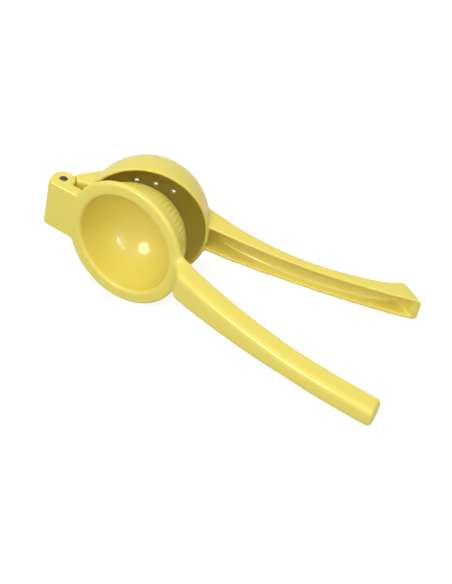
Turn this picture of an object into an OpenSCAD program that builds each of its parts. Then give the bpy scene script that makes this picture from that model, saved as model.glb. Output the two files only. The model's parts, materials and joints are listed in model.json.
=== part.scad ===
// Hinged lemon squeezer: two enamelled castings on one steel pin.
// Each arm is drawn in the hinge frame, shut: the pin's axis is Z at the origin, the handles run
// along +X, the plunger is on the -Y side of the seam and the cup on the +Y side. pose() then
// opens the arms and lays the tool on its side, on its bowl rims and handle tips.

/* [Bowls] */
// Distance from the pin's axis to the middle of the bowls
bowl_x = 48.5; // [47:0.5:54]
// Outer radius of the plunger's flange
flange_r = 37; // [36:0.5:40]
// Thickness of the flange
flange_t = 4.2; // [3:0.1:5]
// Radius of the flange's rounded outer edge
flange_edge_r = 1.5; // [0.8:0.1:1.8]
// Outer radius of the pressing dome
dome_r = 32.3; // [29:0.1:33]
// Wall of the pressing dome
dome_wall = 3.3; // [1.8:0.1:3.6]
// Radius of the rounded lip round the dome's hollow
lip_r = 1.8; // [0.6:0.1:2.2]
// Outer radius of the cup's hemisphere
cup_r = 35.5; // [35.2:0.1:36.5]
// How much wider the cup's rim is than its hemisphere
cup_draft = 1.1; // [0.6:0.1:2]
// Wall of the cup
cup_wall = 2; // [1.6:0.1:2.4]
// Depth from the cup's rim to the middle of its hemisphere
cup_skirt = 5.7; // [4:0.1:8]
// Distance of the cup's rim plane from the pin's axis
rim_y = 3.8; // [3.4:0.1:4.2]
// Gap between the flange and the cup's rim when shut
seat_gap = 0.3; // [0.3:0.05:0.6]

/* [Flutes] */
// Number of flutes round the dome's base
flute_count = 45; // [30:1:54]
// Radius of the flutes
flute_r = 1.5; // [1:0.1:1.8]
// Depth of the flutes at the dome's base
flute_depth = 0.8; // [0.4:0.1:1]

/* [Drain holes] */
// Distance from the pin's axis to the middle drain hole
drain_x = 47.2; // [46:0.1:50]
// Radius of the cup's drain holes
drain_r = 1.4; // [1.2:0.1:2]
// Number of drain holes in the ring round the middle one
drain_count = 6; // [4:1:8]
// Radius of the ring of drain holes
drain_ring_r = 11.1; // [8:0.1:14]
// Turn of that ring about the middle hole
drain_turn = -6; // [-30:1:30]

/* [Hinge] */
// Radius of the steel hinge pin
pin_r = 2.2; // [1.8:0.1:2.6]
// Radial running clearance of the pin in the knuckle
pin_clearance = 0.06; // [0.03:0.01:0.1]
// Radial interference of the pin in the ears
pin_interference = 0.01; // [0.005:0.005:0.02]
// How far the pin's ends lie below the ears' faces
pin_recess = 0.35; // [0.2:0.05:0.8]
// Height of the hinge along the pin
hinge_h = 29.6; // [26:0.2:32]
// Height of the cup arm's knuckle between the ears
knuckle_h = 12; // [10:0.5:14]
// Radius of the knuckle
knuckle_r = 6; // [5.4:0.1:6.2]
// Outer radius of the ears
ear_r = 6.75; // [6.5:0.05:7.2]
// Running gap round the knuckle and the ears
hinge_gap = 0.45; // [0.35:0.05:0.6]
// Distance of the hinge block's end from the pin's axis
block_end = 5.6; // [5:0.1:6]
// Radius of the upright corner between the block's end and its face
block_corner_r = 3; // [1:0.1:3.5]
// Distance of the block's back from the pin's axis
block_back = 0.9; // [0.8:0.1:2]
// Distance of the cup's neck from the seam, beyond the pin's axis
neck_front = 0.3; // [0.1:0.1:1]
// Where the neck's back would cross the pin's axis
neck_back = 2.1; // [1.5:0.1:3]
// Angle at which the neck's back rises to the cup
neck_slope = 38.5; // [34:0.5:40]

/* [Handles] */
// Where along X the handles run parallel to the seam
bow_x = 205.5; // [195:0.5:215]
// Bow radius of the plunger handle's open edges
plunger_bow_r = 407; // [390:1:420]
// Bow radius of the cup handle's open edges
cup_bow_r = 432; // [425:1:480]
// Wall of both handles' channels
channel_wall = 2; // [1.6:0.1:2.5]
// Where along X the plunger handle's open side ends
plunger_tip_x = 217.8; // [205:0.2:222]
// How far its slanted end runs on to its back
plunger_tip_slant = 1.6; // [0:0.1:4]
// Depth of the plunger handle
plunger_grip_d = 12; // [10.6:0.2:14]
// Half height of the plunger handle at its root
plunger_root_h = 8.9; // [7.5:0.1:9.5]
// Half height of the plunger handle along its grip
plunger_grip_h = 5.8; // [5:0.1:6.5]
// Where along X the plunger handle reaches its grip height
plunger_grip_x = 166; // [130:1:180]
// Corner radius of the plunger handle's tip
plunger_tip_r = 3.2; // [1:0.1:3.6]
// Radius of the plunger handle's flare into the flange
root_flare_r = 6; // [3:0.5:8]
// How far inside the flange's rim the plunger handle starts to rise from its face
root_inset = 3.5; // [2:0.5:6]
// Length of that rise
root_slope = 3.5; // [3:0.5:6]
// Where along X the cup handle's back ends
cup_back_x = 194.3; // [190:0.1:200]
// Depth of the cup handle's flared end at its back corner
cup_end_d = 14.6; // [13:0.1:16]
// How far the slanted end of the cup handle runs on to its open edges
cup_end_slant = 11.4; // [8:0.1:14]
// Where along X the cup handle's back lies nearest to the seam
waist_x = 168; // [160:1:176]
// Depth of the cup handle there
waist_d = 7.8; // [7:0.1:9]
// Bow radius of the cup handle's back
back_bow_r = 155; // [145:1:165]
// Bow radius of the flare at the cup handle's end
end_flare_r = 30; // [22:1:40]
// Half height of the cup handle at its root
cup_root_h = 8.6; // [8:0.1:9.5]
// Half height of the cup handle along its grip
cup_grip_h = 6.9; // [6:0.1:7.5]
// Where along X the cup handle reaches its grip height
cup_grip_x = 140; // [120:1:160]
// Height of the low stiffening rib on the cup handle's channel floor
rib_d = 1.1; // [0.8:0.1:2]
// Width of that rib
rib_w = 3.6; // [2:0.1:4]
// Length of that rib
rib_l = 34; // [20:1:45]

/* [Pose] */
// Angle between the arms as the tool lies open
open_angle = 23; // [16:0.5:40]

/* [Hidden] */
$fn = 96;
bow_fn = 1440;
enamel = [0.93, 0.83, 0.35];
steel = [0.70, 0.71, 0.72];
reach = 60;            // more than any outline stands off the axis it is cut from
margin = 1;            // how far a cut runs on past the face it opens
sunk = 0.02;           // how deep a straight side lies in the two round corners that it joins
half_open = open_angle / 2;
flange_back = rim_y + seat_gap;
flange_front = flange_back + flange_t;
hollow_r = dome_r - dome_wall;
dome_y = -flange_back;
cup_y = cup_skirt - rim_y;
cup_rim_r = cup_r + cup_draft;
root_x = bowl_x + flange_r;
cup_handle_x = bowl_x + norm([cup_r, -cup_y]) * cos(45); // inside the cup, which hides the handle's start
hinge_top = hinge_h / 2;
relief_r = ear_r + hinge_gap;
slot_r = knuckle_r + hinge_gap;
slot_floor = (slot_r + flange_back) / 2;

// The block's end runs straight from the ear's circle to its upright corner
corner_centre = [block_corner_r - block_end, block_corner_r - flange_front];
corner_out = atan2(corner_centre[1], corner_centre[0]) - acos((ear_r - block_corner_r) / norm(corner_centre));
end_out = [cos(corner_out), sin(corner_out)];

// Y of a handle's open edges: a bow through y_root at the flange's edge
function bow_y(r, y_root) = y_root + sqrt(pow(r, 2) - pow(bow_x - root_x, 2));
function edge_y(x, r, y_root) = bow_y(r, y_root) - sqrt(pow(r, 2) - pow(x - bow_x, 2));

// The cup handle's back: one long bow, then a tighter one that flares out to the end's corner
back_centre = [waist_x, edge_y(waist_x, cup_bow_r, -rim_y) + waist_d + back_bow_r];
cup_tip_x = cup_back_x + cup_end_slant;
end_corner = [cup_back_x, edge_y(cup_back_x, cup_bow_r, -rim_y) + cup_end_d];
end_foot = [cup_tip_x, edge_y(cup_tip_x, cup_bow_r, -rim_y)];
centre_step = back_bow_r - end_flare_r;
corner_step = norm(end_corner - back_centre);
corner_turn = atan2(end_corner[1] - back_centre[1], end_corner[0] - back_centre[0]);
flare_turn = corner_turn - acos((pow(centre_step, 2) + pow(corner_step, 2) - pow(end_flare_r, 2))
                                / (2 * centre_step * corner_step));
flare_centre = back_centre + centre_step * [cos(flare_turn), sin(flare_turn)];
flare_start_x = back_centre[0] + back_bow_r * cos(flare_turn);

// How the tool lies: the cup's rim and its handle's tip touch the table, unless the flange is lower
cup_rim_x = bowl_x * cos(half_open) + rim_y * sin(half_open);
cup_foot_x = cup_tip_x * cos(half_open) - end_foot[1] * sin(half_open);
foot_run = cup_foot_x - cup_rim_x;
lean = asin(cup_rim_r / norm([foot_run, cup_grip_h])) - atan2(cup_grip_h, foot_run);
rim_drop = norm([cos(half_open) * sin(lean), cos(lean)]);
flange_x = bowl_x * cos(half_open) - (flange_back + flange_edge_r) * sin(half_open);
cup_lift = cup_rim_x * sin(lean) + cup_rim_r * rim_drop;
flange_lift = flange_x * sin(lean) + (flange_r - flange_edge_r) * rim_drop + flange_edge_r;
lift = max(cup_lift, flange_lift);
low_x = -ear_r * cos(lean) - hinge_top * sin(lean);
plunger_tip_y = edge_y(plunger_tip_x, plunger_bow_r, -flange_back);
plunger_back_x = plunger_tip_x + plunger_tip_slant;
plunger_foot_x = plunger_tip_x * cos(half_open) + plunger_tip_y * sin(half_open);
high_x = max(cup_foot_x, plunger_foot_x) * cos(lean) + cup_grip_h * sin(lean);
low_y = (plunger_tip_y - plunger_grip_d) * cos(half_open) - plunger_back_x * sin(half_open);
high_y = bowl_x * sin(half_open) + cup_y * cos(half_open) + cup_r;

// Opens an arm by turn about the pin and lays it down, with the origin under the middle
module pose(turn) {
    translate([-(low_x + high_x) / 2, -(low_y + high_y) / 2, lift])
        rotate([0, lean, 0])
            rotate([0, 0, turn])
                children();
}

// Carries the upper side of an outline of X and Z over to its lower side
function both_sides(points) =
    concat(points, [for (i = [len(points) - 1 : -1 : 0]) [points[i][0], -points[i][1]]]);

// Turns a half outline of radius and height about the bowls' axis, height along +Y
module about_bowl() {
    translate([bowl_x, 0, 0])
        rotate([-90, 0, 0])
            rotate_extrude()
                intersection() {
                    children();
                    translate([0, -reach])
                        square([reach, 2 * reach]);
                }
}

// Stands an outline of X and Z up along Y
module along_y() {
    rotate([90, 0, 0])
        linear_extrude(height = 4 * reach, center = true)
            children();
}

// A slab of the outline's full height along the pin
module slab(h) {
    linear_extrude(height = h, center = true)
        children();
}

// ---------- cup arm ----------

// Half outline of a bowl: a half circle whose skirt widens to the mouth by draft and runs on through it
module bowl_outline(r, y_mouth, y_centre, draft) {
    corner = [r + draft, y_mouth - y_centre];
    touch_turn = atan2(corner[1], corner[0]) + acos(r / norm(corner));
    touch = r * [cos(touch_turn), sin(touch_turn)];
    translate([0, y_centre]) {
        circle(r = r);
        polygon([[0, corner[1]], corner, touch, [0, touch[1]]]);
    }
    translate([0, y_mouth - reach])
        square([corner[0], reach]);
}

// The cup's form, grown by grow on its sides and open-ended at its mouth
module cup_form(grow) {
    about_bowl()
        bowl_outline(cup_r + grow, -rim_y, cup_y, cup_draft);
}

module cup_outside() {
    difference() {
        cup_form(0);
        translate([bowl_x - reach, -rim_y - 2 * reach, -reach])
            cube(2 * reach);
    }
}

// Side outline of the cup's handle, drawn in by inset on its back and its end
module cup_handle_side(inset) {
    end_run = end_foot - end_corner;
    end_shift = inset * norm(end_run) / abs(end_run[1]);
    difference() {
        intersection() {
            translate([bow_x, bow_y(cup_bow_r, -rim_y)])
                circle(r = cup_bow_r, $fn = bow_fn);
            polygon([
                [cup_handle_x, -rim_y],
                [root_x, -rim_y],
                [root_x, -reach],
                end_corner + end_run * (end_corner[1] + reach) / abs(end_run[1]) - [end_shift, 0],
                end_corner - end_run * reach / abs(end_run[1]) - [end_shift, 0],
                [cup_handle_x, end_corner[1] + reach]
            ]);
        }
        intersection() {
            translate(back_centre)
                circle(r = back_bow_r + inset, $fn = bow_fn);
            polygon([
                back_centre,
                back_centre + 2 * back_bow_r * [cos(flare_turn), sin(flare_turn)],
                back_centre - [2 * back_bow_r, 2 * back_bow_r],
                back_centre - [2 * back_bow_r, 0]
            ]);
        }
        translate(flare_centre)
            circle(r = end_flare_r + inset, $fn = bow_fn);
    }
}

// Front outline of the cup's handle, drawn in by inset
module cup_handle_front(inset) {
    root_h = cup_root_h - inset;
    grip_h = cup_grip_h - inset;
    polygon(both_sides([
        [bowl_x, root_h], [root_x, root_h], [cup_grip_x, grip_h], [cup_tip_x + margin, grip_h]
    ]));
}

module cup_handle() {
    intersection() {
        slab(2 * cup_root_h)
            cup_handle_side(0);
        along_y()
            cup_handle_front(0);
    }
}

module cup_channel() {
    difference() {
        intersection() {
            slab(2 * cup_root_h)
                cup_handle_side(channel_wall);
            along_y()
                cup_handle_front(channel_wall);
        }
        cup_form(0);
        cup_rib();
    }
}

// Low rib along the channel's floor, from the bowl on
module cup_rib() {
    slab(rib_w)
        difference() {
            intersection() {
                translate([bowl_x, -reach / 2])
                    square([root_x - bowl_x + rib_l, reach]);
                translate(back_centre)
                    circle(r = back_bow_r + channel_wall + rib_d, $fn = bow_fn);
            }
            translate(back_centre)
                circle(r = back_bow_r, $fn = bow_fn);
        }
}

// Outline of the neck, whose back rises at a slope until it is inside the cup
module neck_outline() {
    neck_l = bowl_x - cup_r * sin(neck_slope) + cup_wall;
    polygon([
        [0, neck_front],
        [neck_l, neck_front],
        [neck_l, neck_back + neck_l * tan(neck_slope)],
        [0, neck_back]
    ]);
}

// The neck that carries the cup, its knuckle between the ears, and their reliefs
module cup_neck() {
    difference() {
        slab(hinge_h)
            neck_outline();
        cylinder(r = relief_r, h = hinge_h + margin, center = true);
    }
    slab(knuckle_h) {
        circle(r = knuckle_r);
        neck_outline();
    }
}

// One hole in the middle and a ring of holes round it, all parallel to the cup's axis
module drain_holes() {
    ring = [for (i = [0 : drain_count - 1]) drain_turn + i * 360 / drain_count];
    spots = concat([[0, 0]], [for (turn = ring) drain_ring_r * [cos(turn), sin(turn)]]);
    for (spot = spots)
        along_y()
            translate([drain_x, 0] + spot)
                circle(r = drain_r);
}

module cup_arm() {
    color(enamel)
        pose(half_open)
            difference() {
                union() {
                    cup_outside();
                    cup_handle();
                    cup_neck();
                }
                cup_form(-cup_wall);
                cup_channel();
                drain_holes();
                cylinder(r = pin_r + pin_clearance, h = hinge_h, center = true);
            }
}

// ---------- plunger arm ----------

// Half outline of the flange, its outer edge rounded
module flange_outline() {
    translate([0, -flange_front])
        square([flange_r - flange_edge_r, flange_t]);
    translate([0, -flange_front + flange_edge_r])
        square([flange_r, flange_t - 2 * flange_edge_r]);
    for (y = [-flange_front + flange_edge_r, -flange_back - flange_edge_r])
        translate([flange_r - flange_edge_r, y])
            circle(r = flange_edge_r);
}

module plunger_outside() {
    about_bowl() {
        flange_outline();
        difference() {
            translate([0, dome_y])
                circle(r = dome_r);
            translate([0, dome_y - reach])
                square([reach, reach]);
        }
    }
}

module plunger_inside() {
    about_bowl() {
        bowl_outline(hollow_r, -flange_front, dome_y, 0);
        difference() {
            translate([hollow_r - lip_r, -flange_front - lip_r])
                square(2 * lip_r);
            translate([hollow_r + lip_r, -flange_front + lip_r])
                circle(r = lip_r);
        }
    }
}

// Shallow flutes round the dome's base, which fade out as the dome curves away
module flutes() {
    for (i = [0 : flute_count - 1])
        translate([bowl_x, dome_y, 0])
            rotate([-90, 0, 0])
                rotate([0, 0, (i + 0.5) * 360 / flute_count])
                    translate([dome_r + flute_r - flute_depth, 0, 0])
                        cylinder(r = flute_r, h = dome_r);
}

// Side outline of the plunger's handle between its open edges and its back, drawn in by inset
module plunger_handle_side(inset) {
    y_front = edge_y(root_x, plunger_bow_r, -flange_back) - plunger_grip_d;
    root_in = root_x - root_inset;
    tip_slope = plunger_tip_slant / plunger_grip_d;
    difference() {
        intersection() {
            translate([bow_x, bow_y(plunger_bow_r, -flange_back)])
                circle(r = plunger_bow_r + plunger_grip_d - inset, $fn = bow_fn);
            polygon([
                [root_in + inset, -flange_front],
                [root_in + root_slope + inset, y_front],
                [root_in + root_slope + inset, -reach],
                [plunger_tip_x + tip_slope * (reach + plunger_tip_y) - inset, -reach],
                [plunger_tip_x + tip_slope * (flange_back + plunger_tip_y) - inset, -flange_back],
                [root_in + inset, -flange_back]
            ]);
        }
        translate([bow_x, bow_y(plunger_bow_r, -flange_back)])
            circle(r = plunger_bow_r, $fn = bow_fn);
    }
}

// Front outline of the plunger's handle, drawn in by inset, with a rounded tip
module plunger_handle_front(inset) {
    root_h = plunger_root_h - inset;
    grip_h = plunger_grip_h - inset;
    corner_x = plunger_back_x - plunger_tip_r;
    corner_h = grip_h - plunger_tip_r;
    polygon(both_sides([[bowl_x, root_h], [root_x, root_h], [plunger_grip_x, grip_h], [corner_x, grip_h]]));
    translate([corner_x - plunger_tip_r, -corner_h])
        square([2 * plunger_tip_r, 2 * corner_h]);
    for (side = [1, -1])
        translate([corner_x, side * corner_h])
            circle(r = plunger_tip_r);
}

// Flat webs with a concave edge where the handle's sides run into the flange's rim
module root_flare() {
    flare_h = plunger_root_h + root_flare_r;
    centre_x = bowl_x + sqrt(pow(flange_r + root_flare_r, 2) - pow(flare_h, 2));
    translate([0, -flange_front + flange_edge_r, 0])
        rotate([-90, 0, 0])
            linear_extrude(height = flange_t - 2 * flange_edge_r)
                difference() {
                    polygon([[bowl_x, 0], [centre_x, flare_h], [centre_x, -flare_h]]);
                    for (side = [1, -1])
                        translate([centre_x, side * flare_h])
                            circle(r = root_flare_r);
                }
}

module plunger_handle() {
    intersection() {
        slab(2 * plunger_root_h)
            plunger_handle_side(0);
        along_y()
            plunger_handle_front(0);
    }
    root_flare();
}

module plunger_channel() {
    difference() {
        intersection() {
            slab(2 * plunger_root_h)
                plunger_handle_side(channel_wall);
            along_y()
                plunger_handle_front(channel_wall);
        }
        about_bowl()
            translate([0, -reach])
                square([flange_r, 2 * reach]);
    }
}

// Outline of the hinge block: the ear's circle, the upright corner and the block itself
module block_outline() {
    block_l = bowl_x - hollow_r;
    circle(r = ear_r);
    translate(corner_centre)
        circle(r = block_corner_r);
    polygon([
        [0, 0],
        (ear_r - sunk) * end_out,
        corner_centre + (block_corner_r - sunk) * end_out,
        corner_centre,
        [corner_centre[0], -flange_front],
        [block_l, -flange_front],
        [block_l, -block_back],
        [0, -block_back]
    ]);
}

// The block with its ears, open for the knuckle and cut round so that the cup's rim passes it
module hinge_block() {
    slot_h = knuckle_h + 2 * hinge_gap;
    difference() {
        slab(hinge_h)
            block_outline();
        translate([bowl_x, -flange_back, 0])
            rotate([-90, 0, 0])
                cylinder(r = flange_r, h = reach);
        cylinder(r = slot_r, h = slot_h, center = true);
        translate([-ear_r - margin, -slot_floor, -slot_h / 2])
            cube([ear_r + margin + relief_r, slot_floor + ear_r + margin, slot_h]);
        cylinder(r = pin_r - pin_interference, h = hinge_h + margin, center = true);
    }
}

module plunger_arm() {
    color(enamel)
        pose(-half_open)
            difference() {
                union() {
                    plunger_outside();
                    plunger_handle();
                    hinge_block();
                }
                plunger_inside();
                plunger_channel();
                flutes();
            }
}

// ---------- pin ----------

module hinge_pin() {
    color(steel)
        pose(-half_open)
            cylinder(r = pin_r, h = hinge_h - 2 * pin_recess, center = true);
}

cup_arm();
plunger_arm();
hinge_pin();
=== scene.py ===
"""Dresses a hinged lemon squeezer: two enamelled castings that turn on one steel pin.

Each casting is modelled in millimetres in the hinge frame, shut: the pin's axis is Z at the
origin, the handles run along +X, the plunger lies on the -Y side of the seam and the cup on the
+Y side. The hinge's pose then carries it to its place in the frame, in metres.
"""

import json
import logging
import math
from collections.abc import Callable, Iterable
from dataclasses import dataclass, field
from enum import Enum

import bmesh
import bpy
from mathutils import Matrix, Quaternion, Vector


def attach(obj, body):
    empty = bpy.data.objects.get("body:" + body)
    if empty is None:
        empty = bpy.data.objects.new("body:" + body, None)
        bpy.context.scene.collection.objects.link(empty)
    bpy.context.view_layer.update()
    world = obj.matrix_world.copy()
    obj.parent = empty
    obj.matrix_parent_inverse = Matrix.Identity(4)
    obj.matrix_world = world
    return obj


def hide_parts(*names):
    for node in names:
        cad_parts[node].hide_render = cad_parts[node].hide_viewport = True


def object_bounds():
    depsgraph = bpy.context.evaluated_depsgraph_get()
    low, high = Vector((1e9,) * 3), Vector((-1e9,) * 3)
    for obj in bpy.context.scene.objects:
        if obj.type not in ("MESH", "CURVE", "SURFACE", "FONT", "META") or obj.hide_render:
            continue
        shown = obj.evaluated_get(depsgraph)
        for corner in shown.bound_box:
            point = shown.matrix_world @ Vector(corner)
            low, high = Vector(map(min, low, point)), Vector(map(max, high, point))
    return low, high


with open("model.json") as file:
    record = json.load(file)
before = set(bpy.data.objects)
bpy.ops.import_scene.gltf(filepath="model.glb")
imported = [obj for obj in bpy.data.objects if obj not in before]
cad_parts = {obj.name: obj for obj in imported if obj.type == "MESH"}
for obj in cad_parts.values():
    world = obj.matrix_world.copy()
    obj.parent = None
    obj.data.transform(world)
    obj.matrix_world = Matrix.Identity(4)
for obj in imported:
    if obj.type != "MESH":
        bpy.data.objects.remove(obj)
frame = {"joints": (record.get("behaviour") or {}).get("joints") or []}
CAD_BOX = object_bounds()

log = logging.getLogger("squeezer")

MM = 0.001              # the frame is in metres, the castings in millimetres
WELD = 1e-4             # vertices nearer than this are one
REACH = 60.0            # further than any form stands off the plane or axis that cuts it
OVERCUT = 1.0           # how far a cutting form runs on past the face it opens
CASTING_GRID = 0.62     # edge length of the mesh that a casting's skin is drawn with
SPUN_STEPS = 192        # steps in a bowl's full turn
ROUND_STEPS = 96        # steps in a rod's full turn
EDGE_STEPS = 4          # steps across a rounded edge
LIP_STEPS = 8           # steps round a lip or the flange's edge
CORNER_STEPS = 12       # steps round an upright corner
EAR_STEPS = 48          # steps round the ears
BOWL_STEPS = 64         # steps from a bowl's mouth to its pole
STATIONS = 96           # steps along a handle or its channel
SWELL_STATIONS = 120    # steps along the handle that swells out of the flange
RIB_STATIONS = 32       # steps along the rib and its grooves
PAD_STATIONS = 4        # steps through the end's pad
SHARP = math.radians(50)        # edges sharper than this stay crisp
BLEND_SPAN = (0.3, 0.7)         # between these shares one colour runs over into the other
FILLET_PASSES = 6       # passes of easing before a fillet's hollow is found anew

QUARTER = [math.pi / 2 * i / 8 for i in range(9)]      # angles along a rounded corner

Outline = list[tuple[float, float]]
Shape = Callable[[float, float, float], Vector]


# ---------- forms ----------


class Joining(Enum):
    """How one closed form is combined with another."""

    ADD = "UNION"
    CUT = "DIFFERENCE"


class Side(Enum):
    """Which half of the hinge an arm belongs to, as the sign of its turn when the tool opens."""

    CUP = 1
    PLUNGER = -1


class Form:
    """A closed form in millimetres, drawn with bmesh and combined with others."""

    def __init__(self, name: str, bm: bmesh.types.BMesh) -> None:
        """Closes the bmesh's poles and seams and makes an object of it.

        Args:
            name: The object's name.
            bm: The form's faces, which this frees.
        """
        bmesh.ops.remove_doubles(bm, verts=bm.verts, dist=WELD)
        bmesh.ops.recalc_face_normals(bm, faces=bm.faces)
        self.piece = bpy.data.objects.new(name, bpy.data.meshes.new(name))
        bm.to_mesh(self.piece.data)
        bm.free()
        bpy.context.scene.collection.objects.link(self.piece)

    @classmethod
    def spun(cls, name: str, outline: Outline, centre_x: float) -> "Form":
        """Turns an outline of radius and height about a bowl's axis, which runs along Y.

        Args:
            name: The object's name.
            outline: Points of radius and height that start and end on the axis.
            centre_x: Where the axis stands.

        Returns:
            The turned form.
        """
        bm = bmesh.new()
        verts = [bm.verts.new((centre_x + radius, height, 0.0)) for radius, height in outline]
        edges = [bm.edges.new(pair) for pair in zip(verts, verts[1:])]
        bmesh.ops.spin(bm, geom=verts + edges, cent=(centre_x, 0, 0), axis=(0, 1, 0), dvec=(0, 0, 0),
                       angle=math.tau, steps=SPUN_STEPS, use_merge=True, use_duplicate=False)
        return cls(name, bm)

    @classmethod
    def bar(cls, name: str, stations: int, shape: Shape, corners: tuple[float, float] = (0.0, 0.0),
            tip_round: float = 0.0, heel_round: float = 0.0) -> "Form":
        """Bends a straight bar into a handle.

        Args:
            name: The object's name.
            stations: How many steps the bar is cut into before its end is rounded.
            shape: Where a point at shares of the length, the depth and the height goes.
            corners: Radius of the back's two long corners, at the bar's start and at its end.
            tip_round: Radius of the end's upper and lower corner.
            heel_round: Radius of the end's corner towards the back.

        Returns:
            The bent bar.
        """
        end = shape(1, 0.5, 0.5)
        rounded = max(tip_round, heel_round) / (end - shape(0, 0.5, 0.5)).length
        plain = {i / stations * (1 - rounded) for i in range(stations + 1)}
        shares = plain | {1 - rounded * (1 - math.sin(turn)) for turn in QUARTER}
        bm = bmesh.new()
        rings = []
        for share in sorted(shares):
            left = (end - shape(share, 0.5, 0.5)).length
            depth = (shape(share, 1, 0.5) - shape(share, 0, 0.5)).length
            height = (shape(share, 0.5, 1) - shape(share, 0.5, 0)).length
            radius = between(*corners, share)
            section = cls._section(drawn_in(heel_round, left) / depth, drawn_in(tip_round, left) / height,
                                   radius / depth, radius / height)
            rings.append([bm.verts.new(shape(share, deep, up)) for deep, up in section])
        for first, second in zip(rings, rings[1:]):
            for i in range(len(first)):
                bm.faces.new((first[i - 1], first[i], second[i], second[i - 1]))
        for cap in (rings[0], rings[-1]):
            bm.faces.new(cap)
        return cls(name, bm)

    @staticmethod
    def _section(deep_in: float, up_in: float, corner_deep: float, corner_up: float) -> Outline:
        """A bar's section in shares of its depth and height, with its two back corners rounded.

        Args:
            deep_in: How far the back is drawn in.
            up_in: How far the top and the bottom are drawn in.
            corner_deep: The back corners' radius in shares of the depth.
            corner_up: The same in shares of the height.

        Returns:
            The section's points in order.
        """
        back, top = 1 - deep_in, 1 - up_in
        deep = min(corner_deep, back)
        tall = min(corner_up, 0.5 - up_in)
        upper = [(back - deep * (1 - math.sin(turn)), top - tall * (1 - math.cos(turn))) for turn in QUARTER]
        lower = [(share, 1 - up) for share, up in reversed(upper)]
        return [(0.0, up_in), (0.0, top)] + upper + lower

    @classmethod
    def slab(cls, name: str, outline: Outline, height: float, corner: float = 0.0) -> "Form":
        """Stands a flat outline of X and Y up along the pin, half its height on each side.

        Args:
            name: The object's name.
            outline: The outline's points in order.
            height: Full height along the pin.
            corner: Radius of the edges round the top and the bottom.

        Returns:
            The slab.
        """
        bm = bmesh.new()
        face = bm.faces.new([bm.verts.new((x, y, -height / 2)) for x, y in outline])
        raised = bmesh.ops.extrude_face_region(bm, geom=[face])["geom"]
        tops = [item for item in raised if isinstance(item, bmesh.types.BMVert)]
        bmesh.ops.translate(bm, verts=tops, vec=(0, 0, height))
        if corner:
            rims = [edge for edge in bm.edges if abs(edge.verts[0].co.z - edge.verts[1].co.z) < WELD]
            round_off(bm, rims, corner)
        return cls(name, bm)

    @classmethod
    def rod(cls, name: str, radius: float, length: float, spot: tuple[float, float, float] = (0, 0, 0),
            along_y: bool = False) -> "Form":
        """A round rod about the pin's axis, or along the bowls' axis.

        Args:
            name: The object's name.
            radius: The rod's radius.
            length: Its full length.
            spot: Its middle.
            along_y: Whether it lies along the bowls' axis.

        Returns:
            The rod.
        """
        bm = bmesh.new()
        turn = Matrix.Rotation(math.pi / 2, 4, "X") if along_y else Matrix.Identity(4)
        bmesh.ops.create_cone(bm, cap_ends=True, segments=ROUND_STEPS, radius1=radius,
                              radius2=radius, depth=length,
                              matrix=Matrix.Translation(spot) @ turn)
        return cls(name, bm)

    @classmethod
    def block(cls, name: str, low: tuple[float, float, float], high: tuple[float, float, float]) -> "Form":
        """A plain block between its lowest and its highest corner."""
        bm = bmesh.new()
        sides = Vector(high) - Vector(low)
        middle = Matrix.Translation((Vector(high) + Vector(low)) / 2)
        bmesh.ops.create_cube(bm, size=1.0, matrix=middle @ Matrix.Diagonal((*sides, 1.0)))
        return cls(name, bm)

    def turned(self, matrix: Matrix) -> "Form":
        """Moves the form's mesh by a matrix."""
        self.piece.data.transform(matrix)
        return self

    def _settle(self) -> None:
        """Bakes the modifiers into the form's mesh."""
        graph = bpy.context.evaluated_depsgraph_get()
        old = self.piece.data
        self.piece.data = bpy.data.meshes.new_from_object(self.piece.evaluated_get(graph))
        self.piece.modifiers.clear()
        bpy.data.meshes.remove(old)

    def combine(self, how: Joining, others: Iterable["Form"]) -> "Form":
        """Adds other forms to this one or cuts them out of it, and uses them up.

        Args:
            how: Whether the others are added or cut.
            others: The forms to use up.

        Returns:
            This form.
        """
        used = list(others)
        for other in used:
            modifier = self.piece.modifiers.new(how.name, "BOOLEAN")
            modifier.operation = how.value
            modifier.solver = "MANIFOLD"
            modifier.object = other.piece
        self._settle()
        for other in used:
            mesh = other.piece.data
            bpy.data.objects.remove(other.piece)
            bpy.data.meshes.remove(mesh)
        return self

    def add(self, *others: "Form") -> "Form":
        """Adds other forms to this one."""
        return self.combine(Joining.ADD, others)

    def cut(self, *others: "Form") -> "Form":
        """Cuts other forms out of this one."""
        return self.combine(Joining.CUT, others)

    def cast(self, rounds: int) -> "Form":
        """Draws one even skin over the form and rounds its corners as a casting's are.

        Args:
            rounds: How many times the skin is eased, which sets how round the corners are.

        Returns:
            This form.
        """
        skin = self.piece.modifiers.new("skin", "REMESH")
        skin.mode = "VOXEL"
        skin.voxel_size = CASTING_GRID
        self._settle()
        with self.editing() as bm:
            self._ease(bm, bm.verts, rounds)
        return self

    def fill(self, *fillets: "Fillet") -> "Form":
        """Fills hollow corners with soft fillets and leaves the ridges beside them sharp."""
        with self.editing() as bm:
            for fillet in fillets:
                near = [vert for vert in bm.verts if (vert.co - Vector(fillet.spot)).length < fillet.reach]
                for _ in range(fillet.rounds):
                    self._ease(bm, filter(_lies_in_a_hollow, near), FILLET_PASSES)
                    bm.normal_update()
        return self

    @staticmethod
    def _ease(bm: bmesh.types.BMesh, verts: Iterable[bmesh.types.BMVert], rounds: int) -> None:
        """Draws each vertex half way to the mean of its neighbours, round after round."""
        kept = list(verts)
        for _ in range(rounds):
            bmesh.ops.smooth_vert(bm, verts=kept, factor=0.5,
                                  use_axis_x=True, use_axis_y=True, use_axis_z=True)

    def press(self, push: Callable[[Vector], Vector]) -> "Form":
        """Moves each point of the skin by what push says of it."""
        with self.editing() as bm:
            for vert in bm.verts:
                vert.co += push(vert.co)
        return self

    def editing(self) -> "MeshEdit":
        """Opens the form's mesh as a bmesh for the length of a with block."""
        return MeshEdit(self.piece.data)


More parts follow.
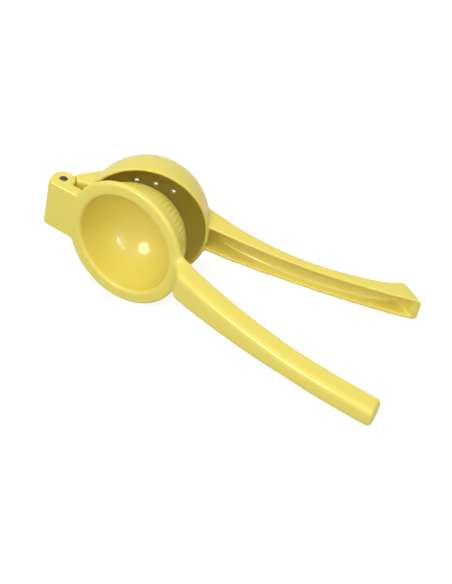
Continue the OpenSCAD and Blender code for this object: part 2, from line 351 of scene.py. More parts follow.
@dataclass(frozen=True)
class Fillet:
    """Where the hollow corners of a casting are filled."""

    spot: tuple[float, float, float]    # middle of the ball that bounds it
    reach: float                        # that ball's radius
    rounds: int                         # how many times the hollow is found anew and eased


def _lies_in_a_hollow(vert: bmesh.types.BMVert) -> bool:
    """Whether a vertex lies deeper than the mean of its neighbours."""
    ends = [edge.other_vert(vert).co for edge in vert.link_edges]
    return (sum(ends, Vector()) / len(ends) - vert.co).dot(vert.normal) > 0


class MeshEdit:
    """A mesh held open as a bmesh, and written back when the with block ends."""

    def __init__(self, mesh: bpy.types.Mesh) -> None:
        """Remembers the mesh to open."""
        self.mesh = mesh

    def __enter__(self) -> bmesh.types.BMesh:
        """Opens the mesh."""
        self.bm = bmesh.new()
        self.bm.from_mesh(self.mesh)
        return self.bm

    def __exit__(self, *_: object) -> None:
        """Writes the mesh back."""
        self.bm.to_mesh(self.mesh)
        self.bm.free()
        self.mesh.update()


# ---------- finishes ----------


class NodeGraph:
    """A material's node tree, with short calls to fill it."""

    def __init__(self, name: str) -> None:
        """Starts a material that holds only its output and its surface shader."""
        self.material = bpy.data.materials.new(name)
        self.material.use_nodes = True
        self.tree = self.material.node_tree
        self.surface = self.tree.nodes["Principled BSDF"]
        self.place = self.node("ShaderNodeTexCoord").outputs["Object"]

    def node(self, kind: str, **values: object) -> bpy.types.Node:
        """Adds a node and sets its properties.

        Args:
            kind: The node's type name.
            values: Properties by name.

        Returns:
            The new node.
        """
        made = self.tree.nodes.new(kind)
        for name, value in values.items():
            setattr(made, name, value)
        return made

    def link(self, output: bpy.types.NodeSocket, target: bpy.types.NodeSocket) -> None:
        """Links an output to an input."""
        self.tree.links.new(output, target)

    def noise(self, grain: float, detail: float, stretch: tuple[float, float, float] = (1, 1, 1)
              ) -> bpy.types.NodeSocket:
        """A noise over the object's own coordinates.

        Args:
            grain: Size of the noise's features in metres.
            detail: How many finer layers it has.
            stretch: How much denser it is along each axis.

        Returns:
            The noise's value.
        """
        mapping = self.node("ShaderNodeMapping")
        mapping.inputs["Scale"].default_value = stretch
        texture = self.node("ShaderNodeTexNoise")
        texture.inputs["Scale"].default_value = 1 / grain
        texture.inputs["Detail"].default_value = detail
        self.link(self.place, mapping.inputs["Vector"])
        self.link(mapping.outputs["Vector"], texture.inputs["Vector"])
        return texture.outputs["Fac"]

    def blend(self, factor: bpy.types.NodeSocket, low: tuple[float, float, float],
              high: tuple[float, float, float]) -> bpy.types.NodeSocket:
        """A colour between two others.

        Args:
            factor: Share of the second colour.
            low: The first colour.
            high: The second colour.

        Returns:
            The colour.
        """
        ramp = self.node("ShaderNodeValToRGB")
        for stop, place, colour in zip(ramp.color_ramp.elements, BLEND_SPAN, (low, high)):
            stop.position = place
            stop.color = (*colour, 1)
        self.link(factor, ramp.inputs["Fac"])
        return ramp.outputs["Color"]

    def spread(self, factor: bpy.types.NodeSocket, low: float, high: float) -> bpy.types.NodeSocket:
        """A number between two others, by a factor from 0 to 1."""
        mapped = self.node("ShaderNodeMapRange")
        mapped.inputs["To Min"].default_value = low
        mapped.inputs["To Max"].default_value = high
        self.link(factor, mapped.inputs["Value"])
        return mapped.outputs["Result"]

    def raise_skin(self, height: bpy.types.NodeSocket, depth: float, under: bpy.types.NodeSocket | None
                   ) -> bpy.types.NodeSocket:
        """A bump over the surface.

        Args:
            height: The bump's height from 0 to 1.
            depth: How high 1 stands, in metres.
            under: The bump that this one lies on.

        Returns:
            The bumped normal.
        """
        bump = self.node("ShaderNodeBump")
        bump.inputs["Distance"].default_value = depth
        self.link(height, bump.inputs["Height"])
        if under:
            self.link(under, bump.inputs["Normal"])
        return bump.outputs["Normal"]


@dataclass(frozen=True)
class Enamel:
    """Glossy yellow enamel, run a little thick and thin over a sand casting."""

    thin: tuple[float, float, float] = (0.84, 0.71, 0.13)
    thick: tuple[float, float, float] = (0.86, 0.73, 0.145)
    patch: float = 0.022            # metres across a thick or thin patch
    sheen_low: float = 0.38         # roughness where the enamel lies smooth
    sheen_high: float = 0.48        # roughness where it is duller
    specular: float = 0.12
    coat: float = 0.25
    coat_roughness: float = 0.02
    coat_ior: float = 1.45
    peel: float = 0.0016            # metres across a dimple of the enamel's skin
    peel_depth: float = 0.000012
    wave: float = 0.009             # metres across a wave of the casting under it
    wave_depth: float = 0.00005

    def material(self) -> bpy.types.Material:
        """Mixes the enamel."""
        graph = NodeGraph("yellow_enamel")
        surface = graph.surface.inputs
        graph.link(graph.blend(graph.noise(self.patch, 3), self.thin, self.thick), surface["Base Color"])
        sheen = graph.spread(graph.noise(self.wave, 4), self.sheen_low, self.sheen_high)
        graph.link(sheen, surface["Roughness"])
        for name, value in (("Coat Weight", self.coat), ("Coat Roughness", self.coat_roughness),
                            ("Coat IOR", self.coat_ior), ("Specular IOR Level", self.specular)):
            surface[name].default_value = value
        wave = graph.raise_skin(graph.noise(self.wave, 1), self.wave_depth, None)
        skin = graph.raise_skin(graph.noise(self.peel, 2), self.peel_depth, wave)
        graph.link(skin, surface["Normal"])
        graph.link(skin, surface["Coat Normal"])
        return graph.material


@dataclass(frozen=True)
class PinSteel:
    """Bare steel of the hinge pin, drawn along its length."""

    dark: tuple[float, float, float] = (0.03, 0.032, 0.036)
    bright: tuple[float, float, float] = (0.12, 0.124, 0.132)
    grain: float = 0.0006
    draw: tuple[float, float, float] = (1.0, 1.0, 0.1)
    smooth: float = 0.24
    rough: float = 0.42
    scratch_depth: float = 0.00001

    def material(self) -> bpy.types.Material:
        """Draws the steel."""
        graph = NodeGraph("drawn_steel")
        surface = graph.surface.inputs
        grain = graph.noise(self.grain, 3, self.draw)
        graph.link(graph.blend(grain, self.dark, self.bright), surface["Base Color"])
        graph.link(graph.spread(grain, self.smooth, self.rough), surface["Roughness"])
        surface["Metallic"].default_value = 1.0
        graph.link(graph.raise_skin(grain, self.scratch_depth, None), surface["Normal"])
        return graph.material


# ---------- the hinge ----------


@dataclass(frozen=True)
class HingePose:
    """Where the hinge stands, which way its pin leans and how far the arms are open."""

    pin: Vector
    lean: float
    half_open: float

    @classmethod
    def from_joint(cls, joint: dict) -> "HingePose":
        """Reads the hinge's place off its joint.

        Args:
            joint: The joint's row, whose upper limit shuts the tool.

        Returns:
            The pose.
        """
        return cls(Vector(joint["pos_m"]), math.atan2(joint["axis"][0], joint["axis"][2]),
                   math.radians(joint["range_deg"][1]) / 2)

    def matrix(self, side: Side) -> Matrix:
        """Carries an arm from the shut hinge frame in millimetres to the frame in metres."""
        return (Matrix.Translation(self.pin) @ Matrix.Rotation(self.lean, 4, "Y")
                @ Matrix.Rotation(side.value * self.half_open, 4, "Z") @ Matrix.Scale(MM, 4))


@dataclass(frozen=True)
class HingeSizes:
    """Sizes that the two arms and the pin share."""

    bowl_x: float = 48.5        # from the pin's axis to the middle of the bowls
    rim_y: float = 3.8          # from the pin's axis to the cup's rim plane
    flange_back: float = 4.1    # from the pin's axis to the flange's back
    flange_r: float = 37.0
    pin_r: float = 2.2
    pin_recess: float = 0.35    # how far the pin's ends lie below the ears' faces
    height: float = 29.6        # along the pin
    knuckle_h: float = 12.0
    knuckle_r: float = 6.0
    ear_r: float = 6.75
    gap: float = 0.45           # running gap round the knuckle and the ears

    @property
    def root_x(self) -> float:
        """Where the handles leave the bowls."""
        return self.bowl_x + self.flange_r


@dataclass(frozen=True)
class OpenEdge:
    """The long shallow bow along which a handle's channel is open, seen from the side."""

    bow_x: float        # where it runs parallel to the seam
    bow_r: float        # its radius
    root_x: float       # where it leaves the bowl
    root_y: float       # its Y there

    @property
    def centre_y(self) -> float:
        """Y of the bow's centre."""
        return self.root_y + math.sqrt(self.bow_r**2 - (self.bow_x - self.root_x) ** 2)

    def y(self, x: float, out: float = 0.0) -> float:
        """Y of the bow at x, or of the bow that lies further out by out."""
        return self.centre_y - math.sqrt((self.bow_r + out) ** 2 - (x - self.bow_x) ** 2)


def round_off(bm: bmesh.types.BMesh, edges: list[bmesh.types.BMEdge], radius: float) -> None:
    """Rounds edges off by a small radius."""
    bmesh.ops.bevel(bm, geom=edges, offset=radius, offset_type="OFFSET", affect="EDGES",
                    segments=EDGE_STEPS, profile=0.5, material=-1, clamp_overlap=True)


def arc(centre: tuple[float, float], radius: float, start: float, end: float, steps: int) -> Outline:
    """Points along an arc, its two ends included.

    Args:
        centre: The arc's centre.
        radius: Its radius.
        start: Angle of its first point, in radians.
        end: Angle of its last point, in radians.
        steps: How many steps it has.

    Returns:
        The points.
    """
    turns = [start + (end - start) * i / steps for i in range(steps + 1)]
    return [(centre[0] + radius * math.cos(t), centre[1] + radius * math.sin(t)) for t in turns]


def between(low: float, high: float, share: float) -> float:
    """A number between two others."""
    return low + (high - low) * share


def drawn_in(radius: float, left: float) -> float:
    """How far a rounded corner has drawn a side in where so much is left to the end."""
    return radius - math.sqrt(radius**2 - max(0.0, radius - left) ** 2)


def fade(value: float, start: float, end: float) -> float:
    """A smooth step from 0 at start to 1 at end."""
    share = min(1.0, max(0.0, (value - start) / (end - start)))
    return share * share * (3 - 2 * share)


@dataclass
class Arm:
    """What the two enamelled arms have in common."""

    hinge: HingeSizes
    pose: HingePose
    finish: Enamel
    side: Side = field(init=False)
    easing: int = 6         # rounds of easing, for corners of about 0.8 mm

    def half_height(self, x: float, root_h: float, grip_h: float, grip_x: float) -> float:
        """Half height of a handle at x, which narrows from its root to its grip."""
        share = (x - self.hinge.root_x) / (grip_x - self.hinge.root_x)
        return between(root_h, grip_h, min(1.0, max(0.0, share)))

    def dress(self, form: Form, name: str, body: str) -> bpy.types.Object:
        """Places a finished casting, enamels it and puts it in its node's stead.

        Args:
            form: The casting in millimetres.
            name: The piece's name.
            body: The body that it moves with.

        Returns:
            The placed piece.
        """
        piece = form.turned(self.pose.matrix(self.side)).piece
        piece.name = name
        piece.data.shade_smooth()
        piece.data.set_sharp_from_angle(angle=SHARP)
        piece.data.materials.clear()
        piece.data.materials.append(self.finish.material())
        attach(piece, body)
        return piece


# ---------- cup arm ----------


@dataclass
class CupArm(Arm):
    """The arm that holds the fruit: a drained cup, its channelled handle and the hinge knuckle."""

    side: Side = field(init=False, default=Side.CUP)
    cup_r: float = 35.5
    cup_draft: float = 1.1          # how much wider the rim is than the hemisphere
    cup_wall: float = 2.0
    cup_skirt: float = 5.7          # from the rim to the middle of the hemisphere
    drain_x: float = 47.2           # from the pin's axis to the middle drain hole
    drain_r: float = 1.3
    drain_count: int = 6
    drain_ring_r: float = 11.1
    drain_turn: float = math.radians(-6)
    neck_front: float = 0.3         # from the seam through the pin's axis to the neck
    neck_back: float = 2.1          # where the neck's back would cross the pin's axis
    neck_slope: float = math.radians(38.5)
    pin_clearance: float = 0.06
    bow_x: float = 205.5
    bow_r: float = 432.0
    wall: float = 2.0
    back_end_x: float = 195.2       # where the handle's back ends
    end_depth: float = 14.6         # depth of the flared end there
    end_slant: float = 12.0         # how far the slanted end runs on to the open edges
    waist_x: float = 168.0          # where the back lies nearest to the seam
    waist_depth: float = 7.8
    back_bow_r: float = 155.0
    flare_r: float = 30.0
    root_h: float = 8.6
    grip_h: float = 6.9
    grip_x: float = 140.0
    rib_depth: float = 2.2
    rib_width: float = 3.6
    rib_end_x: float = 119.5
    rib_fade: float = 9.0           # length over which the rib sinks into the floor
    rib_groove: float = 1.3         # width of the groove on each side of it
    handle_inside: float = 8.9      # how far inside the cup the handle starts
    corner_r: tuple[float, float] = (1.8, 2.4)      # radius of its long back corners, root and end
    floor_r: tuple[float, float] = (2.4, 3.4)       # radius along its channel's floor
    tip_r: float = 3.0              # radius of its end's upper and lower corner
    heel_r: float = 2.6             # radius of its end's corner towards the back
    pad_rise: float = 1.3           # how proud the cast pad stands on the end's inside
    pad_half: float = 3.4           # its half height
    pad_span: tuple[float, float] = (0.1, 0.72)     # its place in shares of the end's depth
    fillets: tuple[Fillet, ...] = (Fillet((18, 16, 0), 19, 8), Fillet((83, 8, 0), 13, 4))

    def __post_init__(self) -> None:
        """Works out the bows of the handle's back."""
        self.edge = OpenEdge(self.bow_x, self.bow_r, self.hinge.root_x, -self.hinge.rim_y)
        self.start_x = self.hinge.bowl_x + self.cup_r - self.handle_inside
        self.back_y = self.edge.y(self.waist_x) + self.waist_depth + self.back_bow_r
        self.tip_x = self.back_end_x + self.end_slant
        corner = Vector((self.back_end_x - self.waist_x,
                         self.edge.y(self.back_end_x) + self.end_depth - self.back_y))
        step = self.back_bow_r - self.flare_r
        apart = (step**2 + corner.length**2 - self.flare_r**2) / (2 * step * corner.length)
        self.flare_turn = math.atan2(corner.y, corner.x) - math.acos(apart)
        self.flare_x = self.waist_x + step * math.cos(self.flare_turn)
        self.flare_y = self.back_y + step * math.sin(self.flare_turn)
        self.flare_start = self.waist_x + self.back_bow_r * math.cos(self.flare_turn)

    def back(self, x: float, inset: float = 0.0) -> float:
        """Y of the handle's back at x: one long bow, then a tighter one that flares out.

        Args:
            x: Place along the handle.
            inset: How far inside the back.

        Returns:
            The back's Y.
        """
        if x < self.flare_start:
            return self.back_y - math.sqrt((self.back_bow_r + inset) ** 2 - (x - self.waist_x) ** 2)
        return self.flare_y - math.sqrt(max(0.0, (self.flare_r + inset) ** 2 - (x - self.flare_x) ** 2))

    def bowl(self, grow: float) -> Outline:
        """Half outline of the cup's outside, grown by grow, from its mouth to its pole.

        Args:
            grow: How much larger than the outside; negative for the inside.

        Returns:
            Points of radius and height.
        """
        radius = self.cup_r + grow
        centre_y = self.cup_skirt - self.hinge.rim_y
        mouth = (radius + self.cup_draft, -self.cup_skirt)
        touch = math.atan2(mouth[1], mouth[0]) + math.acos(radius / math.hypot(*mouth))
        return [(mouth[0], -self.hinge.rim_y)] + arc((0.0, centre_y), radius, touch, math.pi / 2, BOWL_STEPS)

    def outside(self) -> Form:
        """The cup as a full lump."""
        return Form.spun("cup_outside", [(0.0, -self.hinge.rim_y)] + self.bowl(0), self.hinge.bowl_x)

    def inside(self) -> Form:
        """What the cup holds, open at its mouth."""
        outline = self.bowl(-self.cup_wall)
        past = [(0.0, -self.hinge.rim_y - REACH), (outline[0][0], -self.hinge.rim_y - REACH)]
        return Form.spun("cup_inside", past + outline, self.hinge.bowl_x)

    def handle(self) -> Form:
        """The channelled handle with its slanted, flared end."""
        inset = self.wall * math.hypot(self.end_slant, self.end_depth) / self.end_depth

        def bend(in_by: float, run_on: float, end_by: float) -> Shape:
            """A bar drawn in by in_by, with its open side run on and its end drawn back."""

            def shape(along: float, deep: float, up: float) -> Vector:
                x = between(self.start_x, between(self.tip_x, self.back_end_x, deep) - end_by, along)
                low = self.edge.y(x) - run_on
                high = self.back(x, in_by)
                half = self.half_height(x, self.root_h, self.grip_h, self.grip_x) - in_by
                return Vector((x, between(low, high, deep), (2 * up - 1) * half))

            return shape

        bar = Form.bar("cup_handle", STATIONS, bend(0.0, 0.0, 0.0), self.corner_r, self.tip_r, self.heel_r)
        channel = Form.bar("cup_channel", STATIONS, bend(self.wall, OVERCUT, inset), self.floor_r,
                           self.wall / 2)
        return bar.cut(channel, *self.grooves()).add(self.rib(), self.pad(inset))

    def along_floor(self, name: str, middle: float, width: float, rise: float) -> Form:
        """A strip along the channel's floor from the cup on, which sinks away towards its end.

        Args:
            name: The object's name.
            middle: How far above the channel's middle it runs.
            width: Its width.
            rise: How high it stands above the floor; negative for a groove.

        Returns:
            The strip, whose far side lies inside the wall or the channel.
        """

        def shape(along: float, deep: float, up: float) -> Vector:
            x = between(self.start_x, self.rib_end_x, along)
            stands = rise * (1 - fade(x, self.rib_end_x - self.rib_fade, self.rib_end_x))
            floor = self.back(x, self.wall)
            buried = math.copysign(self.wall / 2, rise)
            return Vector((x, between(floor - stands, floor + buried, deep), middle + (up - 0.5) * width))

        return Form.bar(name, RIB_STATIONS, shape)

    def rib(self) -> Form:
        """Stiffening rib on the channel's floor."""
        return self.along_floor("cup_rib", 0.0, self.rib_width, self.rib_depth)

    def grooves(self) -> list[Form]:
        """The grooves on both sides of the rib."""
        middle = (self.rib_width + self.rib_groove) / 2
        return [self.along_floor("rib_groove", side * middle, self.rib_groove, -self.wall / 2)
                for side in (1, -1)]

    def pad(self, inset: float) -> Form:
        """The pad that stands on the inside of the handle's slanted end.

        Args:
            inset: How far inside the end its wall lies, along X.

        Returns:
            The pad.
        """

        def shape(along: float, deep: float, up: float) -> Vector:
            share = between(*self.pad_span, deep)
            end = between(self.tip_x, self.back_end_x, share)
            x = end - between(inset + self.pad_rise, inset - self.wall / 2, along)
            y = between(self.edge.y(end), self.edge.y(self.back_end_x) + self.end_depth, share)
            return Vector((x, y, (2 * up - 1) * self.pad_half))

        return Form.bar("end_pad", PAD_STATIONS, shape)

    def neck(self) -> Form:
        """The neck that rises to the cup, with its knuckle between the ears and their reliefs."""
        hinge = self.hinge
        inside_x = hinge.bowl_x - self.cup_r * math.sin(self.neck_slope) + self.cup_wall
        outline = [(0.0, self.neck_front), (inside_x, self.neck_front),
                   (inside_x, self.neck_back + inside_x * math.tan(self.neck_slope)), (0.0, self.neck_back)]
        neck = Form.slab("cup_neck", outline, hinge.height)
        neck.cut(Form.rod("ear_relief", hinge.ear_r + hinge.gap, hinge.height + OVERCUT))
        tongue = Form.slab("knuckle_tongue", outline, hinge.knuckle_h)
        return neck.add(tongue, Form.rod("knuckle", hinge.knuckle_r, hinge.knuckle_h))

    def drains(self) -> list[Form]:
        """One hole near the middle of the cup and a ring of holes round it."""
        turns = [self.drain_turn + i * math.tau / self.drain_count for i in range(self.drain_count)]
        ring = [(self.drain_ring_r * math.cos(t), self.drain_ring_r * math.sin(t)) for t in turns]
        spots = [(0.0, 0.0)] + ring
        return [Form.rod("drain", self.drain_r, 2 * REACH, (self.drain_x + x, REACH, z), along_y=True)
                for x, z in spots]

    def build(self) -> bpy.types.Object:
        """Casts and enamels the cup arm."""
        bore = Form.rod("knuckle_bore", self.hinge.pin_r + self.pin_clearance, self.hinge.height)
        casting = self.handle().add(self.outside(), self.neck())
        casting.cut(self.inside(), bore).cast(self.easing).fill(*self.fillets).cut(*self.drains())
        return self.dress(casting, "enamelled_cup_arm", "cup")


# ---------- plunger arm ----------


@dataclass
class PlungerArm(Arm):
    """The arm that presses the fruit: a fluted hollow dome on its flange, the handle and the ears."""

    side: Side = field(init=False, default=Side.PLUNGER)
    flange_t: float = 4.2
    flange_edge_r: float = 1.5
    dome_r: float = 32.3
    dome_wall: float = 3.3
    lip_r: float = 1.8
    flute_count: int = 60
    flute_depth: float = 0.62
    flute_edge: float = 2.2         # how sharp the creases between the flutes are
    flute_middle: float = math.radians(24)      # how far up the dome, as an angle from its base
    flute_reach: float = math.radians(15)       # from a flute's middle to its end
    block_end: float = 5.6          # from the pin's axis to the block's end
    block_corner_r: float = 3.0     # radius of its upright corner
    block_back: float = 0.9         # from the pin's axis to the block's back
    block_edge_r: float = 0.5       # radius of the edges round its top and bottom
    bow_x: float = 205.5
    bow_r: float = 407.0
    wall: float = 2.0
    tip_x: float = 217.8
    tip_slant: float = 1.6          # how far the slanted end runs on to the handle's back
    grip_depth: float = 12.0
    root_h: float = 8.9
    grip_h: float = 5.8
    grip_x: float = 166.0
    tip_r: float = 2.6
    corner_r: tuple[float, float] = (3.2, 3.6)      # radius of its long outer corners, root and tip
    floor_r: tuple[float, float] = (1.6, 2.8)       # radius along its channel's floor
    root_flare_r: float = 8.0
    root_sunk: float = 0.3          # how far under the flange's face the handle starts
    root_start: float = 6.5         # how far inside the flange's rim the handle starts to rise
    root_end: float = 5.5           # how far outside that rim it stands at its full depth
    fillets: tuple[Fillet, ...] = (Fillet((85, -9, 0), 17, 14), Fillet((14, -5, 17), 4.5, 6),
                                   Fillet((14, -5, -17), 4.5, 6))

    def __post_init__(self) -> None:
        """Works out the flange's face and the handle's open edge."""
        hinge = self.hinge
        self.front = hinge.flange_back + self.flange_t
        self.edge = OpenEdge(self.bow_x, self.bow_r, hinge.root_x, -hinge.flange_back)
        self.dome_y = -hinge.flange_back

    def outside(self) -> Form:
        """The flange with its rounded edge and the pressing dome, as one lump."""
        back, edge_r = self.hinge.flange_back, self.flange_edge_r
        ring = self.hinge.flange_r - edge_r
        outline = [(0.0, -self.front)]
        outline += arc((ring, -self.front + edge_r), edge_r, -math.pi / 2, 0, LIP_STEPS)
        outline += arc((ring, -back - edge_r), edge_r, 0, math.pi / 2, LIP_STEPS)
        outline += arc((0.0, self.dome_y), self.dome_r, 0, math.pi / 2, BOWL_STEPS)
        return Form.spun("plunger_outside", outline, self.hinge.bowl_x)

    def hollow(self) -> Form:
        """What the dome's hollow holds, with a rounded lip at its mouth."""
        radius = self.dome_r - self.dome_wall
        mouth = radius + self.lip_r
        outline = [(0.0, -REACH), (mouth, -REACH)]
        outline += arc((mouth, -self.front + self.lip_r), self.lip_r, -math.pi / 2, -math.pi, LIP_STEPS)
        outline += arc((0.0, self.dome_y), radius, 0, math.pi / 2, BOWL_STEPS)
        return Form.spun("plunger_hollow", outline, self.hinge.bowl_x)

    def handle(self) -> Form:
        """The channelled handle, which swells out of the flange's face and ends in a rounded tip."""
        root_x = self.hinge.root_x
        inside_y = self.root_sunk - self.front
        swell = (root_x - self.root_start, root_x + self.root_end)

        def bend(in_by: float, run_on: float, start_x: float) -> Shape:
            """A bar drawn in by in_by, with its open side run on, between its start and the tip."""

            def shape(along: float, deep: float, up: float) -> Vector:
                x = between(start_x, self.tip_x + self.tip_slant * deep - in_by, along)
                low = min(self.edge.y(x), self.dome_y - WELD) + run_on
                out = self.edge.y(x, self.grip_depth)
                high = between(inside_y, out, fade(x, *swell)) + in_by
                half = self.half_height(x, self.root_h, self.grip_h, self.grip_x) - in_by
                return Vector((x, between(low, high, deep), (2 * up - 1) * half))

            return shape

        bar = Form.bar("plunger_handle", SWELL_STATIONS, bend(0.0, 0.0, swell[0]), self.corner_r, self.tip_r)
        channel = Form.bar("plunger_channel", STATIONS, bend(self.wall, OVERCUT, root_x + self.wall),
                           self.floor_r, self.tip_r - self.wall)
        return bar.cut(channel)

    def root_flare(self) -> Form:
        """Flat webs with a concave edge where the handle's sides run into the flange's rim."""
        high = self.root_h + self.root_flare_r
        away = math.sqrt((self.hinge.flange_r + self.root_flare_r) ** 2 - high**2)
        centre = (self.hinge.bowl_x + away, high)
        upper = arc(centre, self.root_flare_r, math.atan2(-high, -away), -math.pi / 2, CORNER_STEPS)
        outline = [(self.hinge.bowl_x, 0.0)] + upper + [(x, -z) for x, z in reversed(upper)]
        web = Form.slab("root_flare", outline, self.flange_t - self.flange_edge_r)
        middle = -self.hinge.flange_back - self.flange_t / 2
        return web.turned(Matrix.Translation((0, middle, 0)) @ Matrix.Rotation(math.pi / 2, 4, "X"))

    def ears(self) -> Form:
        """The hinge block, with its two ears either side of the slot for the knuckle."""
        hinge = self.hinge
        corner_r = self.block_corner_r
        corner = (corner_r - self.block_end, corner_r - self.front)
        turn = math.atan2(corner[1], corner[0]) - math.acos((hinge.ear_r - corner_r) / math.hypot(*corner))
        start = -math.asin(self.block_back / hinge.ear_r)
        inside_x = hinge.bowl_x - self.dome_r + self.dome_wall
        outline = arc((0, 0), hinge.ear_r, start, turn % math.tau, EAR_STEPS)
        outline += arc(corner, corner_r, turn % math.tau, 1.5 * math.pi, CORNER_STEPS)
        outline += [(inside_x, -self.front), (inside_x, -self.block_back)]
        block = Form.slab("hinge_block", outline, hinge.height, self.block_edge_r)
        rim = (hinge.bowl_x, REACH / 2 - hinge.flange_back, 0)
        block.cut(Form.rod("rim_relief", hinge.flange_r, REACH, rim, along_y=True))
        slot_r = hinge.knuckle_r + hinge.gap
        slot_h = hinge.knuckle_h + 2 * hinge.gap
        floor = (slot_r + hinge.flange_back) / 2
        slot = Form.block("ear_slot", (-hinge.ear_r - OVERCUT, -floor, -slot_h / 2),
                          (hinge.ear_r + hinge.gap, hinge.ear_r + OVERCUT, slot_h / 2))
        slot.add(Form.rod("knuckle_slot", slot_r, slot_h))
        return block.cut(slot, Form.rod("ear_bore", hinge.pin_r, 2 * hinge.height))

    def flute(self, spot: Vector) -> Vector:
        """How far the fluting draws in a point of the dome's side.

        Args:
            spot: A point of the casting.

        Returns:
            The move towards the dome's centre: deepest along the creases between the flutes.
        """
        out = spot - Vector((self.hinge.bowl_x, self.dome_y, 0))
        if abs(out.length - self.dome_r) > self.dome_wall / 2:
            return Vector()
        rise = math.asin(out.y / out.length)
        share = 1 - ((rise - self.flute_middle) / self.flute_reach) ** 2
        ridge = abs(math.sin(self.flute_count * math.atan2(out.z, out.x) / 2))
        return -out.normalized() * self.flute_depth * max(0.0, share) * (1 - ridge) ** self.flute_edge

    def build(self) -> bpy.types.Object:
        """Casts and enamels the plunger arm."""
        casting = self.handle().add(self.outside(), self.root_flare(), self.ears())
        casting.cut(self.hollow())
        casting.cast(self.easing).press(self.flute).fill(*self.fillets)
        return self.dress(casting, "enamelled_plunger_arm", "plunger")


# ---------- pin ----------


@dataclass
class HingePin:
    """The steel pin, its ends broken by a small chamfer and a shallow turned dimple."""

    hinge: HingeSizes
    pose: HingePose
    finish: PinSteel
    chamfer: float = 0.35
    dimple_r: float = 1.3
    dimple_depth: float = 0.7

    def build(self) -> bpy.types.Object:
        """Turns and dresses the pin."""
        end = self.hinge.height / 2 - self.hinge.pin_recess
        bm = bmesh.new()
        bmesh.ops.create_cone(bm, cap_ends=True, segments=ROUND_STEPS, radius1=self.hinge.pin_r,
                              radius2=self.hinge.pin_r, depth=2 * end)
        ends = [face for face in bm.faces if len(face.verts) > 4]
        rims = [edge for face in ends for edge in face.edges]
        round_off(bm, rims, self.chamfer)
        ends = [face for face in bm.faces if len(face.verts) > 4]
        rim = self.hinge.pin_r - self.chamfer - self.dimple_r
        bmesh.ops.inset_region(bm, faces=ends, thickness=rim, depth=0)
        bmesh.ops.inset_region(bm, faces=ends, thickness=self.dimple_depth, depth=-self.dimple_depth)
        piece = Form("steel_hinge_pin", bm).turned(self.pose.matrix(Side.PLUNGER)).piece
        piece.data.shade_smooth()
        piece.data.materials.append(self.finish.material())
        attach(piece, "plunger")
        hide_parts("hinge_pin")
        return piece


# ---------- studio ----------


@dataclass(frozen=True)
class Lamp:
    """A soft lamp, placed round the object by its bearings."""

    name: str
    azimuth: float          # degrees to the right of the front
    elevation: float        # degrees above the floor
    distance: float         # metres from the middle of the object
    width: float
    height: float
    power: float            # watts
    tilt: float = 0.0       # degrees about its own middle line
    round: bool = False
    gleams_only: bool = False   # whether it shows in the gloss and lights nothing, or the reverse

    def hang(self, target: Vector) -> bpy.types.Object:
        """Hangs the lamp and turns it to its target."""
        data = bpy.data.lights.new(self.name, "AREA")
        data.shape = "ELLIPSE" if self.round else "RECTANGLE"
        data.size = self.width
        data.size_y = self.height
        data.energy = self.power
        turn, rise = math.radians(self.azimuth), math.radians(self.elevation)
        away = Vector((math.sin(turn) * math.cos(rise), -math.cos(turn) * math.cos(rise), math.sin(rise)))
        lamp = bpy.data.objects.new(self.name, data)
        lamp.location = target + away * self.distance
        tilt = Quaternion((0, 0, 1), math.radians(self.tilt))
        lamp.rotation_euler = (away.to_track_quat("Z", "Y") @ tilt).to_euler()
        lamp.visible_diffuse = not self.gleams_only
        lamp.visible_glossy = self.gleams_only
        bpy.context.scene.collection.objects.link(lamp)
        return lamp


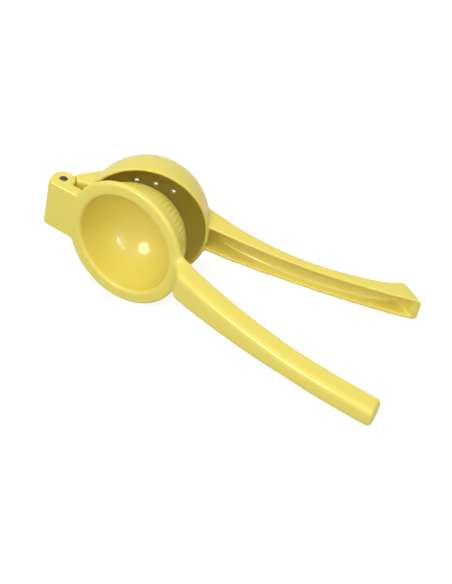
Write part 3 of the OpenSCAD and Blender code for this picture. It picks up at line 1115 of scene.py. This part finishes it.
@dataclass(frozen=True)
class Studio:
    """A white floor under a white sky, soft lamps, and the camera on its stand."""

    pose: HingePose
    azimuth: float = math.radians(20.71)
    elevation: float = math.radians(35.74)
    right: float = 0.092            # how far the camera's axis passes right of the pin, in metres
    down: float = 0.05184           # how far it passes below the pin
    distance: float = 0.85
    lens: float = 93.98             # millimetres, over a sensor 36 mm high
    sensor: float = 36.0
    floor_size: float = 12.0
    floor_colour: tuple[float, float, float] = (0.40, 0.40, 0.39)
    floor_glow: float = 0.80        # what the floor adds to its shading where it is seen
    sky_fill: float = 0.45
    lamps: tuple[Lamp, ...] = (
        Lamp("front_lamp", 0.0, 34.0, 1.0, 1.2, 1.0, 5.4),
        Lamp("top_lamp", 10.0, 78.0, 1.1, 0.9, 0.9, 5.4),
        Lamp("round_gleam", -30.0, 40.0, 1.0, 0.48, 0.48, 18.0, round=True, gleams_only=True),
        Lamp("strip_gleam", 41.0, 36.0, 1.0, 0.02, 0.55, 14.0, tilt=16.0, gleams_only=True),
    )

    def set_camera(self) -> None:
        """Stands the camera at the object's three-quarter front, looking down."""
        across = Vector((math.cos(self.azimuth), math.sin(self.azimuth), 0))
        back = Vector((math.sin(self.azimuth) * math.cos(self.elevation),
                       -math.cos(self.azimuth) * math.cos(self.elevation), math.sin(self.elevation)))
        up = back.cross(across)
        data = bpy.data.cameras.new("camera")
        data.sensor_fit = "VERTICAL"
        data.sensor_height = self.sensor
        data.lens = self.lens
        camera = bpy.data.objects.new("camera", data)
        place = self.pose.pin + across * self.right - up * self.down + back * self.distance
        camera.matrix_world = Matrix.Translation(place) @ Matrix((across, up, back)).transposed().to_4x4()
        bpy.context.scene.collection.objects.link(camera)
        bpy.context.scene.camera = camera

    @staticmethod
    def seen(tree: bpy.types.NodeTree) -> bpy.types.NodeSocket:
        """1 for a ray that looks at the surroundings, straight, in a reflection or through glass."""
        path = tree.nodes.new("ShaderNodeLightPath")
        total = path.outputs["Is Camera Ray"]
        for name in ("Is Glossy Ray", "Is Transmission Ray"):
            larger = tree.nodes.new("ShaderNodeMath")
            larger.operation = "MAXIMUM"
            tree.links.new(total, larger.inputs[0])
            tree.links.new(path.outputs[name], larger.inputs[1])
            total = larger.outputs[0]
        return total

    def set_sky(self) -> None:
        """A sky that looks white and fills softly."""
        world = bpy.data.worlds.new("sky")
        bpy.context.scene.world = world
        world.use_nodes = True
        tree = world.node_tree
        fill = tree.nodes["Background"]
        fill.inputs["Strength"].default_value = self.sky_fill
        fill.inputs["Color"].default_value = (1, 1, 1, 1)
        white = tree.nodes.new("ShaderNodeBackground")
        white.inputs["Color"].default_value = (1, 1, 1, 1)
        mix = tree.nodes.new("ShaderNodeMixShader")
        tree.links.new(self.seen(tree), mix.inputs["Fac"])
        tree.links.new(fill.outputs["Background"], mix.inputs[1])
        tree.links.new(white.outputs["Background"], mix.inputs[2])
        tree.links.new(mix.outputs["Shader"], tree.nodes["World Output"].inputs["Surface"])

    def lay_floor(self) -> None:
        """A pale floor that looks white where it is lit and keeps the object's shadow."""
        bm = bmesh.new()
        bmesh.ops.create_grid(bm, x_segments=1, y_segments=1, size=self.floor_size / 2)
        floor = Form("floor", bm).piece
        material = bpy.data.materials.new("white_floor")
        material.use_nodes = True
        tree = material.node_tree
        tree.nodes.remove(tree.nodes["Principled BSDF"])
        matt = tree.nodes.new("ShaderNodeBsdfDiffuse")
        matt.inputs["Color"].default_value = (*self.floor_colour, 1)
        glow = tree.nodes.new("ShaderNodeEmission")
        strength = tree.nodes.new("ShaderNodeMath")
        strength.operation = "MULTIPLY"
        strength.inputs[1].default_value = self.floor_glow
        total = tree.nodes.new("ShaderNodeAddShader")
        tree.links.new(self.seen(tree), strength.inputs[0])
        tree.links.new(strength.outputs[0], glow.inputs["Strength"])
        tree.links.new(matt.outputs["BSDF"], total.inputs[0])
        tree.links.new(glow.outputs["Emission"], total.inputs[1])
        tree.links.new(total.outputs["Shader"], tree.nodes["Material Output"].inputs["Surface"])
        floor.data.materials.append(material)

    def set_up(self, target: Vector) -> None:
        """Sets the whole studio up round the object's middle."""
        self.set_camera()
        self.set_sky()
        self.lay_floor()
        for lamp in self.lamps:
            lamp.hang(target)
        bpy.context.scene.view_settings.view_transform = "Standard"


def report(piece: bpy.types.Object) -> None:
    """Logs a finished piece and how many triangles it has."""
    piece.data.calc_loop_triangles()
    log.info("%s: %d triangles", piece.name, len(piece.data.loop_triangles))


def main() -> None:
    """Builds the arms, the pin and the studio."""
    logging.basicConfig(level=logging.INFO, format="%(name)s: %(message)s")
    hinge = HingeSizes()
    pose = HingePose.from_joint(frame["joints"][0])
    enamel = Enamel()
    cup_arm = CupArm(hinge, pose, enamel).build()
    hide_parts("cup_arm")
    report(cup_arm)
    plunger_arm = PlungerArm(hinge, pose, enamel).build()
    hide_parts("plunger_arm")
    report(plunger_arm)
    report(HingePin(hinge, pose, PinSteel()).build())
    Studio(pose).set_up((CAD_BOX[0] + CAD_BOX[1]) / 2)


if __name__ == "__main__":
    main()
